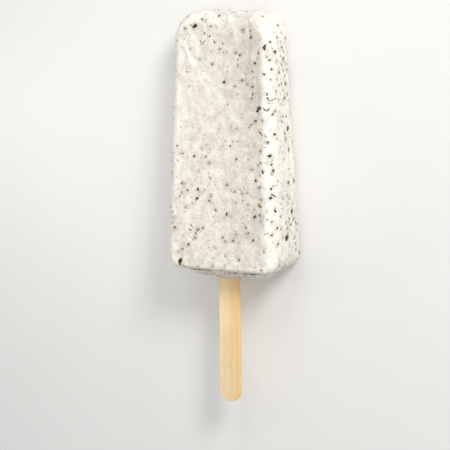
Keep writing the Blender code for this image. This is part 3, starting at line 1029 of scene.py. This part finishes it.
stick = begin(
    bpy.ops.mesh.primitive_cube_add,
    "wooden_stick",
    size=1,
    location=(STICK_OFF_MIDDLE, STICK_MIDDLE, 0),
    scale=(STICK_WIDTH, STICK_LENGTH, STICK_THICKNESS),
)
pick(stick, "EDGE", lambda c: abs(c[0].z - c[1].z) > STICK_THICKNESS / 2)
bpy.ops.mesh.bevel(offset=STICK_END_RADIUS, segments=STICK_END_STEPS, affect="EDGES")
bpy.ops.object.mode_set(mode="OBJECT")
edges = stick.modifiers.new("tumbled edges", "BEVEL")
edges.width = STICK_EDGE
edges.segments = STICK_EDGE_STEPS
edges.limit_method = "ANGLE"
edges.angle_limit = SHARP
finish_modifiers(stick)

birch, birch_shader, on_stick = finish("birch", roughness=0.55)
rings = on_stick.stretched(RING_STRETCH).clouds(0.0016, detail=3.0)
pores = on_stick.stretched(PORE_STRETCH).clouds(0.0004)
tints = rings * 0.6 + on_stick.clouds(0.009) * 0.4
wood = tints.ramp(0.38, 0.64).mix(PALE_WOOD, WOOD)
# Painted shade: the right half of the stick is browner.
stick_shade = (on_stick.along("X") + rings * STICK_SHADE_WAVER).ramp(STICK_SHADE_FROM, STICK_SHADE_TO)
wood = stick_shade.lay(SHADED_WOOD, wood, strength=0.80)
wood = pores.ramp(0.58, 0.72).lay(PORE, wood, strength=0.35)
feed(
    birch_shader,
    Base_Color=wood,
    Roughness=rings * WOOD_SHINE_VARIES + WOOD_SHINE,
    Normal=relief(rings * 0.6 + pores * 0.4, WOOD_RELIEF),
)
stick.data.materials.append(birch)
hand_over(stick, "stick")

# ---------------------------------------------------------------------------------------------
# The studio: a plain pale table, a soft key light from the right and the tip with a weaker one on
# each side of it, a small one close by on the left, an even pale room, and the camera at the
# photograph's angle to the bar.

TURNED_RIGHT = math.radians(28.9)
RAISED = math.radians(9.9)
ROLLED = math.radians(-1.11)
CAMERA_DISTANCE = 0.614
LOOKS_AT = Vector((-0.0003, -0.0351, 0.0072))
LENS = 116.7
TABLE_SIZE = 4
TABLE_TOP = -0.0002
TABLE_PALE = (0.90, 0.90, 0.90, 1)
TABLE_GREY = (0.86, 0.86, 0.86, 1)
ROOM_LIGHT = (1.0, 0.99, 0.975, 1)
ROOM_STRENGTH = 0.50

# For each lamp its place, width, length, power and colour.
LAMPS = {
    "key": ((0.56, 0.56, 0.47), 0.25, 0.25, 4.9, (1.0, 0.99, 0.965)),
    "high_right": ((0.45, 0.14, 0.77), 0.30, 0.30, 0.55, (1.0, 0.99, 0.97)),
    "past_the_tip": ((0.09, 0.70, 0.56), 0.30, 0.30, 1.1, (1.0, 0.99, 0.97)),
    "low_left": ((-0.085, 0.03, 0.128), 0.05, 0.20, 0.037, (1.0, 0.96, 0.85)),
}

bpy.ops.object.select_all(action="DESELECT")
bpy.ops.mesh.primitive_plane_add(size=TABLE_SIZE, location=(0, 0, TABLE_TOP))
table = bpy.context.object
table.name = "table"
laminate, laminate_shader, on_table = finish("pale_table", roughness=0.6)
feed(laminate_shader, Base_Color=on_table.clouds(0.05).mix(TABLE_PALE, TABLE_GREY))
table.data.materials.append(laminate)


def lamp(name, place, width, length, power, colour):
    """A soft light box that hangs at a place and is aimed at the middle of the bar."""
    light = bpy.data.lights.new(name, "AREA")
    light.shape = "RECTANGLE"
    light.size = width
    light.size_y = length
    light.energy = power
    light.color = colour
    holder = bpy.data.objects.new(name, light)
    bpy.context.scene.collection.objects.link(holder)
    holder.location = place
    away = Vector(place) - Vector(BLOCK_MIDDLE)
    holder.rotation_euler = away.to_track_quat("Z", "Y").to_euler()


for name, settings in LAMPS.items():
    lamp(name, *settings)
world = bpy.data.worlds.new("room")
bpy.context.scene.world = world
world.use_nodes = True
room = world.node_tree.nodes["Background"]
room.inputs["Color"].default_value = ROOM_LIGHT
room.inputs["Strength"].default_value = ROOM_STRENGTH

level = math.cos(RAISED)
aside, ahead = math.sin(TURNED_RIGHT) * level, math.cos(TURNED_RIGHT) * level
towards_camera = Vector((aside, math.sin(RAISED), ahead))
right = Vector((math.cos(TURNED_RIGHT), 0, -math.sin(TURNED_RIGHT)))
up = towards_camera.cross(right)
seen_from = Matrix((right, up, towards_camera)).transposed() @ Matrix.Rotation(ROLLED, 3, "Z")
camera = bpy.data.objects.new("camera", bpy.data.cameras.new("camera"))
bpy.context.scene.collection.objects.link(camera)
camera.matrix_world = (
    LYING @ Matrix.Translation(LOOKS_AT + towards_camera * CAMERA_DISTANCE) @ seen_from.to_4x4()
)
camera.data.lens = LENS
bpy.context.scene.camera = camera
bpy.context.scene.view_settings.view_transform = "Standard"
